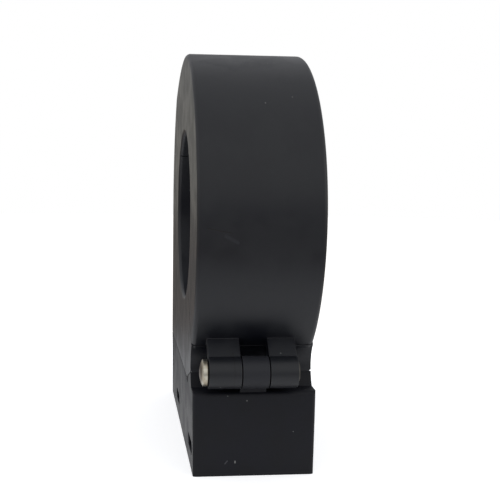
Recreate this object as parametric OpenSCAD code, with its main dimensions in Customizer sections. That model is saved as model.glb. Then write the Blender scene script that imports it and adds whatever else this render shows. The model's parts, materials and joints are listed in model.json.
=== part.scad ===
// Split-core current transformer: a ring that is cut on a slanting plane.
// The upper jaw swings open on a pin hinge beside the foot and snaps shut
// behind the window. Origin: window's centre, halfway through the thickness.
// +X is the hinge side, -Y the front and +Z up. Millimetres.

/* [Ring] */
// Outer radius of the ring
ring_r = 38; // [36:1:48]
// Radius of the round window that the conductor passes through
window_r = 20; // [14:1:22]
// Thickness of the body, front to back
body_t = 27; // [26:1:36]
// Wall of the moulded housings
wall = 2; // [1.6:0.1:2.3]
// Rounding of the outer edges
edge_r = 1; // [0.5:0.1:1.4]
// Rounding of the window's two edges
window_edge_r = 0.8; // [0.4:0.1:1.2]
// Gap between the two housings where the ring is cut
split_gap = 0.3; // [0.2:0.05:0.6]
// How far the far side and the latch lug stand out past the ring
far_margin = 4; // [3.6:0.1:7]

/* [Hinge] */
// Distance from the ring's surface to the hinge axis
hinge_gap = 6.85; // [6.2:0.05:9]
// Radius of the knuckles
knuckle_r = 3.5; // [3:0.1:4.2]
// Distance from the front face to the first knuckle
barrel_setback = 3.2; // [2.6:0.1:5]
// Length of the front knuckle
front_knuckle_l = 6.9; // [4:0.1:7.5]
// Length of the middle knuckle
mid_knuckle_l = 5.7; // [4:0.1:7]
// Length of the rear knuckle
rear_knuckle_l = 6; // [4:0.1:7]
// Gap between two knuckles
knuckle_gap = 0.25; // [0.15:0.05:0.5]
// Thickness of the tabs that carry the outer knuckles
tab_t = 2.7; // [2:0.1:3.2]
// Radius of the pin
pin_r = 1.5; // [1:0.1:1.8]
// Radius of the pin's button head
pin_head_r = 2.9; // [2.2:0.1:3.2]
// Height of the pin's button head
pin_head_h = 1.8; // [1:0.1:2.2]
// Radius of the scoop around the hinge
scoop_r = 7; // [6.2:0.1:9]

/* [Foot] */
// Height of the foot under its seam
foot_h = 18; // [17:0.5:30]
// Lean of the foot's front and back, in degrees
foot_draft = 0.7; // [0:0.1:1.5]
// How far the foot's near face lies inside the hinge axis
near_inset = 0.7; // [0:0.1:3]
// Length of the two mounting slots
slot_l = 10; // [7:0.5:12]
// Height of the two mounting slots
slot_h = 3; // [2:0.1:3.4]
// Height of the base under the slots
slot_lift = 3.6; // [3.2:0.1:5]
// Distance from the near face to the first slot's centre
slot_near = 7.5; // [6.6:0.1:9]
// Distance from the far face to the second slot's centre
slot_far = 25; // [24.6:0.1:27]
// Thickness of the base cover
base_cover_t = 1.8; // [1.2:0.1:2.2]

/* [Core and winding] */
// Depth of the core's section, front to back
core_d = 15; // [11:0.5:17]
// Thickness of the winding
winding_t = 1.6; // [0.8:0.1:1.8]
// Wall of the coil former
former_t = 0.8; // [0.5:0.1:1]
// Thickness of the former's two end flanges
flange_t = 2; // [1.2:0.1:3]
// Air gap between the two pole faces
pole_gap = 0.1; // [0.05:0.05:0.2]

/* [Terminals] */
// Width of one pole of the terminal block
pole_pitch = 5; // [3.5:0.1:6]
// Depth of the terminal block behind the far face
block_d = 12; // [9:0.5:13]
// Height of the terminal block
block_h = 10; // [9:0.5:10]

/* [Hidden] */
$fn = 72;
eps = 0.01;
far_away = 200;
half_t = body_t / 2;
split_angle = 45;
// clearances
fit_clear = 0.1;
coil_clear = 0.35;
running_clear = 0.05;
// the far and near faces
far_x = -(ring_r + far_margin);
hinge_reach = ring_r + hinge_gap;
hinge_x = hinge_reach * cos(split_angle);
hinge_z = -hinge_reach * sin(split_angle);
near_x = hinge_x - near_inset;
// the seam between the lower housing and the foot, and the base
seam_lap = 1;
seam_z = -(ring_r - seam_lap);
base_z = seam_z - foot_h;
seam_slope = 20;
seam_turn_x = hinge_x - scoop_r - 10.2;
seam_end_x = hinge_x - scoop_r + 2;
seam_end_z = seam_z + (seam_end_x - seam_turn_x) * tan(seam_slope);
seam_groove = 0.3;
ledge_z = hinge_z - knuckle_r - 1.1;
// the ring's cavity and what it holds
cavity_r0 = window_r + wall;
cavity_r1 = ring_r - wall;
mid_r = (cavity_r0 + cavity_r1) / 2;
core_w = cavity_r1 - cavity_r0 - 2 * (former_t + winding_t + coil_clear);
core_r0 = mid_r - core_w / 2;
core_r1 = mid_r + core_w / 2;
// the housings' back covers sit in a rebate
rebate = wall / 2;
cover_y0 = half_t - wall;
cover_y1 = half_t - 0.2;
// the knuckles along the hinge
front_y0 = -half_t + barrel_setback;
front_y1 = front_y0 + front_knuckle_l;
mid_y0 = front_y1 + knuckle_gap;
mid_y1 = mid_y0 + mid_knuckle_l;
rear_y0 = mid_y1 + knuckle_gap;
rear_y1 = rear_y0 + rear_knuckle_l;
// the latch: a tongue on the jaw in a pocket of the lower housing
tongue_v0 = ring_r + 0.7;
tongue_t = 1.3;
tongue_l = 6;
tongue_w = 12;
tongue_root = 4;
barb_h = 0.5;
latch_clear = 0.25;
barb_reach = hinge_reach + tongue_v0 + tongue_t + barb_h;
pocket_reach = sqrt(pow(barb_reach, 2) + pow(tongue_l, 2)) + latch_clear;
latch_window_w = tongue_w - 3;
// the jaw's lug: an arc that leaves the ring near its top
lug_angle = 95;
lug_shift = 7.5 * far_margin;
// the foot's inside
foot_top_z = seam_z - wall;
foot_cavity_y = half_t - wall - 0.5;
base_cover_top_z = base_z + base_cover_t;
base_cover_y = foot_cavity_y + 1;
slot_x = [near_x - slot_near, far_x + slot_far];
slot_z = base_z + slot_lift + slot_h / 2;
slot_wall = 1.2;
// the housing's two screws and the cover's four
housing_screw_x = [far_x + 8, seam_turn_x + 4.8];
housing_screw_r = 1.2;
housing_screw_head_r = 2.2;
housing_screw_head_h = 1.6;
housing_screw_l = 7;
cover_screw_r = 1;
cover_screw_head_r = 2;
cover_screw_l = 7;
cover_screw_boss_r = 2.5;
cover_screw_y = foot_cavity_y - cover_screw_boss_r + 0.8;
cover_screw_x = [
    slot_x[0] - slot_l / 2 - slot_wall - cover_screw_boss_r + 0.5,
    slot_x[1] - slot_l / 2 - slot_wall - 1.8
];
// the terminal block and the board behind it
block_x0 = far_x + 0.3;
block_x1 = block_x0 + block_d;
block_w = 2 * pole_pitch + 0.8;
block_z0 = base_cover_top_z + 1.6;
block_z1 = block_z0 + block_h;
entry_w = 3.2;
entry_h = 3.6;
entry_z = block_z0 + 1 + entry_h / 2;
well_r = 1.9;
well_z = block_z1 - 1 - well_r;
well_d = 2;
clamp_wall = 0.6;
clamp_l = 5;
clamp_x0 = block_x0 + 3;
board_t = 1.6;
board_x0 = block_x1;
board_x1 = board_x0 + board_t;
board_z0 = base_cover_top_z + 0.6;
board_z1 = foot_top_z - 0.4;
part_z = slot_z + slot_h / 2 + slot_wall + 4;
resistor_r = 1.75;
resistor_l = 9;
diode_size = [2.3, 4.3, 2.6];
lead_r = 0.5;
lead_x = far_x + 15.5;
lead_y = [-3, 3];

// A flat outline in X and Z, from y0 to y1
module plate(y0, y1) {
    translate([0, y1, 0])
        rotate([90, 0, 0])
            linear_extrude(y1 - y0)
                children();
}

// A section given as radius and Y, turned about the window's axis
module turned() {
    rotate([-90, 0, 0])
        rotate_extrude()
            children();
}

// The slanting frame: its X runs to the hinge, and its Z away from the cut
module slanted() {
    rotate([0, split_angle, 0])
        children();
}

// What lies on the jaw's side of the cut, with half the gap left free
module jaw_side(gap) {
    intersection() {
        children();
        slanted()
            translate([-far_away, -far_away, gap / 2])
                cube([2 * far_away, 2 * far_away, far_away]);
    }
}

// What lies on the fixed side of the cut
module fixed_side(gap) {
    intersection() {
        children();
        slanted()
            translate([-far_away, -far_away, -far_away - gap / 2])
                cube([2 * far_away, 2 * far_away, far_away]);
    }
}

// A rectangle from one corner to the other
module span(x0, y0, x1, y1) {
    translate([x0, y0])
        square([x1 - x0, y1 - y0]);
}

// A block from one corner to the other
module block(low, high) {
    translate(low)
        cube(high - low);
}

// A ring's section, with its window edges and its outer edges rounded
module rounded_section(r0, r1, h, edge0, edge1) {
    span(r0 + edge0, -h, r1 - edge1, h);
    span(r0, -h + edge0, r0 + 2 * edge0, h - edge0);
    span(r1 - 2 * edge1, -h + edge1, r1, h - edge1);
    for (side = [-1, 1]) {
        translate([r0 + edge0, side * (h - edge0)])
            circle(edge0);
        translate([r1 - edge1, side * (h - edge1)])
            circle(edge1);
    }
}

// The section of the ring's hollow, open at the back
module hollow_section() {
    span(cavity_r0, -half_t + wall, cavity_r1, half_t + 1);
}

// The section of the jaw's rebate for its back cover
module jaw_rebate_section() {
    span(cavity_r0 - rebate, cover_y0, cavity_r1 + rebate, half_t + 1);
}

// A cylinder along Y at a place in X and Z
module rod(x, z, r, y0, y1) {
    translate([x, y1, z])
        rotate([90, 0, 0])
            cylinder(h = y1 - y0, r = r);
}

// The scoop around the hinge, down to the foot's ledge
module scoop_outline(grow) {
    difference() {
        translate([hinge_x, hinge_z])
            circle(scoop_r + grow);
        span(hinge_x - 2 * scoop_r, ledge_z - 2 * scoop_r, hinge_x + 2 * scoop_r, ledge_z - grow);
    }
    span(hinge_x, ledge_z - grow, hinge_x + 2 * scoop_r, hinge_z + scoop_r);
}

// The lower housing's outline, drawn in by some amount all round
module lower_outline(inset) {
    shoulder = [
        [far_x + inset, 0],
        [far_x + inset, seam_z - 1],
        [seam_end_x, seam_z - 1],
        [seam_end_x, hinge_z + scoop_r],
        [0, 0]
    ];
    difference() {
        union() {
            circle(ring_r - inset);
            polygon(shoulder);
            intersection() {
                circle(ring_r + far_margin - inset);
                span(far_x, 0, 0, ring_r + far_margin);
            }
        }
        scoop_outline(inset);
        seam_region(inset);
    }
}

// The region below the seam, or below a line that much above it
module seam_region(lift) {
    polygon([
        [far_x - 5, seam_z + lift],
        [seam_turn_x, seam_z + lift],
        [seam_end_x, seam_end_z + lift],
        [seam_end_x, base_z],
        [far_x - 5, base_z]
    ]);
}

// The round edge that runs down the far face, as the piece it takes away
module far_edge(z0, z1) {
    for (side = [-1, 1])
        difference() {
            translate([far_x - 1, side * half_t, (z0 + z1) / 2])
                cube([2 * edge_r + 2, 2 * edge_r, z1 - z0], center = true);
            translate([far_x + edge_r, side * (half_t - edge_r), z0 - 1])
                cylinder(h = z1 - z0 + 2, r = edge_r);
        }
}

// The section of a band round the ring's wall, with rounded outer edges
module band_section(r0, r1) {
    span(r0, -half_t, r1 - edge_r, half_t);
    span(r1 - 2 * edge_r, -half_t + edge_r, r1, half_t - edge_r);
    for (side = [-1, 1])
        translate([r1 - edge_r, side * (half_t - edge_r)])
            circle(edge_r);
}

// The whole ring, before it is cut and hollowed
module full_ring() {
    turned()
        rounded_section(window_r, ring_r, half_t, window_edge_r, edge_r);
}

// Fixed housing: the ring's lower half, its shoulders and the latch pocket
module lower_housing() {
    color("#1d1e20")
        difference() {
            fixed_side(split_gap)
                union() {
                    full_ring();
                    shoulder_body();
                    latch_shoulder();
                }
            turned()
                hollow_section();
            corner_pocket();
            latch_pocket();
            cover_rebate();
            lead_passages();
            for (x = housing_screw_x)
                translate([x, 0, foot_top_z])
                    cylinder(h = housing_screw_l, r = housing_screw_r - fit_clear);
            below_seam(0, half_t + 1);
            seam_shadow();
        }
}

// The straight-sided part of the lower housing, outside the ring
module shoulder_body() {
    difference() {
        plate(-half_t, half_t)
            difference() {
                intersection() {
                    lower_outline(0);
                    span(far_x, seam_z - 1, far_away, 0);
                }
                circle(ring_r - edge_r);
            }
        far_edge(seam_z - 1, 0);
    }
}

// The thicker stretch of the ring that holds the latch pocket
module latch_shoulder() {
    intersection() {
        turned()
            band_section(cavity_r1 + rebate, ring_r + far_margin);
        block([-far_away, -half_t - 1, 0], [0, half_t + 1, far_away]);
    }
}

// A hollow in the far corner, with a boss for one housing screw
module corner_pocket() {
    difference() {
        plate(-half_t + wall, half_t + 1)
            difference() {
                span(far_x + wall, seam_z + wall, -0.3 * ring_r, -0.2 * ring_r);
                circle(ring_r);
            }
        translate([housing_screw_x[0], 0, seam_z])
            cylinder(h = housing_screw_l + wall, r = 2 * housing_screw_r);
        block([far_x, -2 * housing_screw_r, seam_z],
              [housing_screw_x[0], 2 * housing_screw_r, seam_z + housing_screw_l + wall]);
    }
}

// The rebate that the lower back cover lies in
module cover_rebate() {
    intersection() {
        plate(cover_y0, half_t + 1)
            difference() {
                lower_outline(rebate);
                circle(cavity_r0 - rebate);
                latch_island(0);
            }
        slanted()
            block([-far_away, -far_away, -far_away], [far_away, far_away, 0]);
    }
}

// The outline that the back cover leaves free around the latch
module latch_island(grow) {
    difference() {
        span(-2 * ring_r, -grow, 0, 2 * ring_r);
        circle(cavity_r1 + rebate - grow);
    }
}

// The pocket that the jaw's tongue drops into, and the release window
module latch_pocket() {
    slanted() {
        intersection() {
            block([-ring_r - far_margin, -tongue_w / 2 - latch_clear, -tongue_l - 1],
                  [-tongue_v0 + latch_clear, tongue_w / 2 + latch_clear, 1]);
            rod(hinge_reach, 0, pocket_reach, -half_t, half_t);
        }
        block([-2 * ring_r, -latch_window_w / 2, -tongue_l - 0.4],
              [-tongue_v0 - tongue_t, latch_window_w / 2, -tongue_l + 3]);
    }
}

// Where the winding's two leads leave the coil for the foot
module lead_passages() {
    for (y = lead_y) {
        translate([lead_x, y, seam_z - 1])
            cylinder(h = wall + 2, r = 2 * lead_r);
        translate([lead_x, y, seam_z + 2 * wall])
            rotate([0, 90, 0])
                cylinder(h = -lead_x, r = 2 * lead_r);
    }
}

// All that lies below the seam, or below a line that much above it
module below_seam(lift, y1) {
    plate(-y1, y1)
        seam_region(lift);
}

// The fine shadow groove over the foot, on the front and the back
module seam_shadow() {
    difference() {
        below_seam(seam_groove, half_t + 1);
        block([-far_away, -half_t + seam_groove, -far_away], [far_away, half_t - seam_groove, 0]);
    }
}

// Flat cover over the back of the lower housing
module lower_back_cover() {
    color("#1a1b1d")
        fixed_side(split_gap + 2 * fit_clear)
            plate(cover_y0, cover_y1)
                difference() {
                    lower_outline(rebate + fit_clear);
                    circle(cavity_r0 - rebate + fit_clear);
                    latch_island(fit_clear);
                }
}

// The foot's outline under the seam, with the ledge beside the hinge
module foot_outline() {
    difference() {
        union() {
            span(far_x, base_z, near_x, seam_z);
            polygon([
                [seam_turn_x, seam_z - 1],
                [near_x, seam_z - 1],
                [near_x, seam_end_z],
                [seam_end_x, seam_end_z],
                [seam_turn_x, seam_z]
            ]);
        }
        scoop_outline(0);
        ledge_round();
    }
}

// The rounding of the ledge's outer edge, as the corner it takes away
module ledge_round() {
    difference() {
        span(near_x - edge_r, ledge_z - edge_r, near_x + 1, ledge_z + 1);
        translate([near_x - edge_r, ledge_z - edge_r])
            circle(edge_r);
    }
}

// The foot's section across: its front and back lean in towards the base
module foot_lean() {
    lean = foot_h * tan(foot_draft);
    rotate([90, 0, 90])
        translate([0, 0, far_x - 1])
            linear_extrude(near_x - far_x + 2)
                polygon([
                    [-half_t, hinge_z + scoop_r],
                    [-half_t, seam_z],
                    [-half_t + lean, base_z],
                    [half_t - lean, base_z],
                    [half_t, seam_z],
                    [half_t, hinge_z + scoop_r]
                ]);
}

// The foot seen from above, with its four upright edges rounded
module foot_plan() {
    linear_extrude(hinge_z + scoop_r - base_z) {
        span(far_x + edge_r, -half_t, near_x - edge_r, half_t);
        span(far_x, -half_t + edge_r, near_x, half_t - edge_r);
        for (x = [far_x + edge_r, near_x - edge_r])
            for (y = [-half_t + edge_r, half_t - edge_r])
                translate([x, y])
                    circle(edge_r);
    }
}

// The hollow of the foot, with the bosses and the slots' tunnels left in it
module foot_hollow() {
    difference() {
        block([far_x + wall, -foot_cavity_y, base_z - 1],
              [near_x - wall, foot_cavity_y, foot_top_z]);
        for (x = slot_x)
            block([x - slot_l / 2 - slot_wall, -half_t, slot_z - slot_h / 2 - slot_wall],
                  [x + slot_l / 2 + slot_wall, half_t, slot_z + slot_h / 2 + slot_wall]);
        for (x = cover_screw_x)
            for (side = [-1, 1])
                translate([x, side * cover_screw_y, base_cover_top_z])
                    cylinder(h = cover_screw_l, r = cover_screw_boss_r);
    }
}

// One mounting slot, with round ends, from front to back
module mounting_slot(x) {
    plate(-half_t - 1, half_t + 1) {
        span(x - slot_l / 2 + slot_h / 2, slot_z - slot_h / 2,
             x + slot_l / 2 - slot_h / 2, slot_z + slot_h / 2);
        for (side = [-1, 1])
            translate([x + side * (slot_l - slot_h) / 2, slot_z])
                circle(slot_h / 2);
    }
}

// The middle knuckle and the web that carries it on the ledge
module middle_knuckle() {
    rod(hinge_x, hinge_z, knuckle_r, mid_y0, mid_y1);
    plate(mid_y0, mid_y1)
        span(hinge_x - knuckle_r, ledge_z - 1, near_x - edge_r / 2, hinge_z);
}

// A notch in the foot's upper edge, to lift the housing off
module pry_notch() {
    translate([seam_turn_x + 1.5, -half_t, seam_z + 0.4])
        rotate([-90, 0, 0])
            cylinder(h = 1.2, r = 1.2);
}

// Moulded foot: slots, ledge, middle knuckle and room for the terminals
module foot() {
    color("#202124")
        difference() {
            union() {
                intersection() {
                    plate(-half_t, half_t)
                        foot_outline();
                    foot_lean();
                    translate([0, 0, base_z])
                        foot_plan();
                }
                middle_knuckle();
            }
            foot_hollow();
            for (x = slot_x)
                mounting_slot(x);
            block([far_x - 1, -block_w / 2 - fit_clear, block_z0 - fit_clear],
                  [far_x + 2 * wall, block_w / 2 + fit_clear, block_z1 + fit_clear]);
            base_cover_seat(0);
            for (x = cover_screw_x)
                for (side = [-1, 1])
                    translate([x, side * cover_screw_y, base_z - 1])
                        cylinder(h = base_cover_t + cover_screw_l - 1, r = cover_screw_r - fit_clear);
            for (x = housing_screw_x)
                translate([x, 0, foot_top_z - 1])
                    cylinder(h = far_away, r = housing_screw_r + fit_clear);
            for (y = lead_y)
                translate([lead_x, y, foot_top_z - 1])
                    cylinder(h = wall + 2, r = 2 * lead_r);
            rod(hinge_x, hinge_z, pin_r + fit_clear / 5, mid_y0 - 1, mid_y1 + 1);
            pry_notch();
        }
}

// The base cover's place in the foot, drawn in by a clearance
module base_cover_seat(clear) {
    block([far_x + rebate + clear, -base_cover_y + clear, base_z - (clear > 0 ? 0 : 1)],
          [near_x - rebate - clear, base_cover_y - clear, base_cover_top_z]);
}

// Flat cover that closes the foot from below
module base_cover() {
    color("#1c1d1f")
        difference() {
            base_cover_seat(fit_clear);
            for (x = cover_screw_x)
                for (side = [-1, 1])
                    translate([x, side * cover_screw_y, base_z])
                        countersink(fit_clear);
        }
}

// A screw's countersunk head and its hole, up from the base
module countersink(clear) {
    head_h = cover_screw_head_r - cover_screw_r;
    translate([0, 0, -1])
        cylinder(h = 1.2, r = cover_screw_head_r + clear);
    translate([0, 0, 0.2])
        cylinder(h = head_h, r1 = cover_screw_head_r + clear, r2 = cover_screw_r + clear);
    cylinder(h = base_cover_t + 1, r = cover_screw_r + clear);
}

// Four countersunk screws with cross recesses
module base_cover_screws() {
    color("#8d9094")
        for (x = cover_screw_x)
            for (side = [-1, 1])
                translate([x, side * cover_screw_y, base_z + 0.2])
                    base_cover_screw();
}

module base_cover_screw() {
    head_h = cover_screw_head_r - cover_screw_r;
    difference() {
        union() {
            cylinder(h = head_h, r1 = cover_screw_head_r, r2 = cover_screw_r);
            translate([0, 0, head_h - eps])
                cylinder(h = base_cover_t + cover_screw_l - 3 - head_h, r = cover_screw_r - fit_clear);
        }
        for (turn = [0, 90])
            rotate([0, 0, turn])
                cube([2 * cover_screw_r, 0.5, 1], center = true);
    }
}

// Two screws that hold the lower housing on the foot
module housing_screws() {
    color("#8d9094")
        for (x = housing_screw_x)
            translate([x, 0, foot_top_z])
                difference() {
                    union() {
                        translate([0, 0, -housing_screw_head_h])
                            cylinder(h = housing_screw_head_h, r = housing_screw_head_r);
                        cylinder(h = housing_screw_l - 0.5, r = housing_screw_r - fit_clear);
                    }
                    translate([0, 0, -housing_screw_head_h])
                        for (turn = [0, 90])
                            rotate([0, 0, turn])
                                cube([2 * housing_screw_r, 0.6, 1.6], center = true);
                }
}

// Steel pin with a rounded button head in front and a thin riveted tail behind
module hinge_pin() {
    tail_h = 0.35;
    tail_r = pin_r + 0.9;
    head_y = front_y0 - fit_clear;
    tail_y = rear_y1 + fit_clear;
    color("#c9c7c1")
        translate([hinge_x, 0, hinge_z]) {
            rod(0, 0, pin_r, head_y - eps, tail_y + eps);
            translate([0, head_y, 0])
                rotate([90, 0, 0])
                    rotate_extrude()
                        pin_head_section();
            translate([0, tail_y, 0])
                rotate([-90, 0, 0])
                    cylinder(h = tail_h, r1 = tail_r, r2 = tail_r - 0.2);
        }
}

// Half section of the pin's head: a rim, rounded at the back, under a low dome
module pin_head_section() {
    rim_round = 0.3;
    dome_h = 0.4 * pin_head_h;
    dome_r = (pow(pin_head_r, 2) + pow(dome_h, 2)) / (2 * dome_h);
    intersection() {
        union() {
            square([pin_head_r - rim_round, pin_head_h]);
            translate([0, rim_round])
                square([pin_head_r, pin_head_h]);
            translate([pin_head_r - rim_round, rim_round])
                circle(rim_round);
        }
        translate([0, pin_head_h - dome_r])
            circle(dome_r);
    }
}

// Plain section of the core, of the former's tube or of the winding
module core_section(grow) {
    span(core_r0 - grow, -core_d / 2 - grow, core_r1 + grow, core_d / 2 + grow);
}

// Section of a flange or holder that fills the ring's hollow
module filling_section() {
    span(cavity_r0 + fit_clear, -half_t + wall + fit_clear, cavity_r1 - fit_clear, cover_y0 - fit_clear);
}

// Former: a tube round the core with a flange at each pole
module coil_former() {
    color("#e4e0d4")
        difference() {
            union() {
                fixed_side(split_gap)
                    turned()
                        core_section(former_t);
                difference() {
                    fixed_side(split_gap)
                        turned()
                            filling_section();
                    fixed_side(split_gap + 2 * flange_t)
                        turned()
                            span(window_r, -body_t, ring_r, body_t);
                }
            }
            turned()
                core_section(fit_clear / 2);
        }
}

// Fixed half of the cut core
module lower_core() {
    color("#6f7175")
        fixed_side(pole_gap)
            turned()
                core_section(0);
}

// Secondary winding on the former, between its flanges
module secondary_winding() {
    color("#a8572c")
        fixed_side(split_gap + 2 * flange_t + 2 * fit_clear)
            turned()
                difference() {
                    rounded_section(core_r0 - former_t - winding_t, core_r1 + former_t + winding_t,
                                    core_d / 2 + former_t + winding_t, winding_t / 2, winding_t / 2);
                    core_section(former_t + fit_clear / 2);
                }
}

// The winding's two insulated ends, down through the seam to the board
module winding_leads() {
    lead_top_z = seam_z + 2 * wall;
    coil_x = -sqrt(pow(core_r1 + former_t + winding_t, 2) - pow(lead_top_z + lead_r, 2));
    color("#c9a227")
        for (y = lead_y) {
            translate([lead_x, y, part_z])
                cylinder(h = lead_top_z - part_z, r = lead_r);
            translate([lead_x, y, lead_top_z])
                sphere(lead_r);
            translate([lead_x, y, lead_top_z])
                rotate([0, 90, 0])
                    cylinder(h = coil_x - lead_x - fit_clear, r = lead_r);
            translate([lead_x, y, part_z])
                sphere(lead_r);
            translate([board_x1 + fit_clear / 2, y, part_z])
                rotate([0, 90, 0])
                    cylinder(h = lead_x - board_x1 - fit_clear / 2, r = lead_r);
        }
}

// Board that stands behind the terminal block
module circuit_board() {
    color("#2f6b3d")
        block([board_x0, -foot_cavity_y + fit_clear, board_z0],
              [board_x1, foot_cavity_y - fit_clear, board_z1]);
}

// Burden resistor, lying along the board on its two bent legs
module burden_resistor() {
    leg_r = 0.35;
    body_x = board_x1 + resistor_r + 0.3;
    body_z = part_z - 3;
    color("#b9a37c")
        translate([body_x, 0, body_z]) {
            rod(0, 0, resistor_r, -resistor_l / 2, resistor_l / 2);
            rod(0, 0, leg_r, -resistor_l / 2 - 1, resistor_l / 2 + 1);
            for (side = [-1, 1])
                translate([0, side * (resistor_l / 2 + 1), 0])
                    rotate([0, -90, 0])
                        cylinder(h = resistor_r + 0.3, r = leg_r);
        }
}

// Two-way diode that limits the open secondary's voltage
module protection_diode() {
    color("#1a1a1a")
        translate([board_x1, foot_cavity_y - diode_size[1] - 1, part_z - diode_size[2] / 2])
            cube(diode_size);
}

// A wire's way into the block from x0 to x1, wider by a margin all round
module wire_entry(x0, x1, grow) {
    block([x0, -entry_w / 2 - grow, entry_z - entry_h / 2 - grow],
          [x1, entry_w / 2 + grow, entry_z + entry_h / 2 + grow]);
}

// Block with two screw terminals, open on the far face
module terminal_block() {
    clamp_x1 = clamp_x0 + clamp_l;
    color("#17181a")
        difference() {
            block([block_x0, -block_w / 2, block_z0], [block_x1, block_w / 2, block_z1]);
            for (side = [-1, 1])
                translate([0, side * pole_pitch / 2, 0]) {
                    wire_entry(block_x0 - 1, clamp_x1 + fit_clear, 0);
                    wire_entry(clamp_x0 - fit_clear, clamp_x1 + fit_clear, clamp_wall);
                    translate([block_x0 - 1, 0, well_z])
                        rotate([0, 90, 0])
                            cylinder(h = clamp_x1 - block_x0, r = well_r);
                }
        }
}

// Two brass cages that grip the wires
module terminal_clamps() {
    color("#b8985a")
        for (side = [-1, 1])
            translate([0, side * pole_pitch / 2, 0])
                difference() {
                    wire_entry(clamp_x0, clamp_x0 + clamp_l, clamp_wall / 2);
                    wire_entry(clamp_x0 - 1, clamp_x0 + clamp_l + 1, -clamp_wall / 2);
                }
}

// Two slotted screws in the block's wells
module terminal_screws() {
    color("#b4b6ba")
        for (side = [-1, 1])
            translate([block_x0 + well_d, side * pole_pitch / 2, well_z])
                rotate([0, 90, 0])
                    difference() {
                        cylinder(h = clamp_x0 + clamp_l - block_x0 - well_d - 1.5, r = well_r - fit_clear);
                        cube([2 * well_r, 0.6, 1.2], center = true);
                    }
}

// The sector behind the jaw's top, outside the wall that rims its cover
module lug_sector() {
    reach = 2 * ring_r;
    difference() {
        rotate([0, -lug_angle, 0])
            block([0, -half_t - 1, 0], [reach, half_t + 1, reach]);
        plate(-half_t - 2, half_t + 2)
            circle(cavity_r1 + rebate);
    }
}

// The jaw's lug: an arc that leaves the ring near its top and swells
// towards the latch
module jaw_lug() {
    intersection() {
        rotate([0, -lug_angle, 0])
            translate([-lug_shift, 0, 0])
                turned()
                    band_section(ring_r + lug_shift - 2 * far_margin, ring_r + lug_shift);
        lug_sector();
    }
}

// The two outer knuckles, each on a tab that leaves the ring's surface
module outer_knuckles() {
    slanted()
        for (ends = [[front_y0, front_y1], [rear_y0, rear_y1]]) {
            rod(hinge_reach, 0, knuckle_r, ends[0], ends[1]);
            block([ring_r - wall / 2, ends[0], split_gap / 2], [hinge_reach, ends[1], tab_t]);
        }
}

// The snap tongue: a springy strip whose barb shows in the release window
module snap_tongue() {
    barb = [
        [-tongue_v0 - tongue_t + eps, -tongue_l],
        [-tongue_v0 - tongue_t, -tongue_l],
        [-tongue_v0 - tongue_t - barb_h, -tongue_l + 1.6],
        [-tongue_v0 - tongue_t - barb_h, -tongue_l + 2.2],
        [-tongue_v0 - tongue_t + eps, -tongue_l + 2.4]
    ];
    slanted() {
        block([-tongue_v0 - tongue_t, -tongue_w / 2, -tongue_l],
              [-tongue_v0, tongue_w / 2, tongue_root]);
        plate(-latch_window_w / 2 + latch_clear, latch_window_w / 2 - latch_clear)
            polygon(barb);
    }
}

// Moving housing: the ring's upper half with its lug, tongue and knuckles
module jaw_housing() {
    color("#1f2022")
        difference() {
            union() {
                jaw_side(split_gap)
                    union() {
                        difference() {
                            full_ring();
                            lug_sector();
                        }
                        jaw_lug();
                    }
                outer_knuckles();
                snap_tongue();
            }
            turned() {
                hollow_section();
                jaw_rebate_section();
            }
            slanted()
                rod(hinge_reach, 0, pin_r + running_clear, -half_t, half_t);
        }
}

// Flat cover over the back of the jaw
module jaw_back_cover() {
    color("#1a1b1d")
        jaw_side(split_gap + 2 * fit_clear)
            turned()
                span(cavity_r0 - rebate + fit_clear, cover_y0, cavity_r1 + rebate - fit_clear, cover_y1);
}

// Channel that holds the jaw's core, open towards the back cover
module jaw_core_holder() {
    color("#2a2b2e")
        jaw_side(split_gap)
            turned()
                difference() {
                    filling_section();
                    span(core_r0 - fit_clear / 2, -core_d / 2 - fit_clear / 2,
                         core_r1 + fit_clear / 2, half_t);
                }
}

// Moving half of the cut core
module jaw_core() {
    color("#6f7175")
        jaw_side(pole_gap)
            turned()
                core_section(0);
}

// Foam strip that presses the moving core forward in its channel
module jaw_core_pad() {
    color("#3a3a3c")
        jaw_side(split_gap + 4)
            turned()
                span(core_r0 + 1, core_d / 2 + fit_clear / 2, core_r1 - 1, cover_y0 - fit_clear / 2);
}

lower_housing();
lower_back_cover();
foot();
base_cover();
base_cover_screws();
housing_screws();
hinge_pin();
coil_former();
lower_core();
secondary_winding();
winding_leads();
circuit_board();
burden_resistor();
protection_diode();
terminal_block();
terminal_clamps();
terminal_screws();
jaw_housing();
jaw_back_cover();
jaw_core_holder();
jaw_core();
jaw_core_pad();
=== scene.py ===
# %% [markdown]
# # A split-core current transformer
# This is the black plastic ring that an electrician snaps round a live cable to measure its current.
# One half, the jaw, swings open on a moulded hinge, so the cable doesn't have to be cut.
# The other half stands on a foot, with screw terminals for the two wires of the meter.
# The solid parts come ready made, at their real size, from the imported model.
# This lesson gives them their finish: black ABS with a satin grain, a bright rivet, and the steel,
# copper and board inside, which show only when the jaw is open or the covers are off.

# %% Load the solid parts
import json
import math

import bmesh
import bpy
from mathutils import Matrix, Vector


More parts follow.
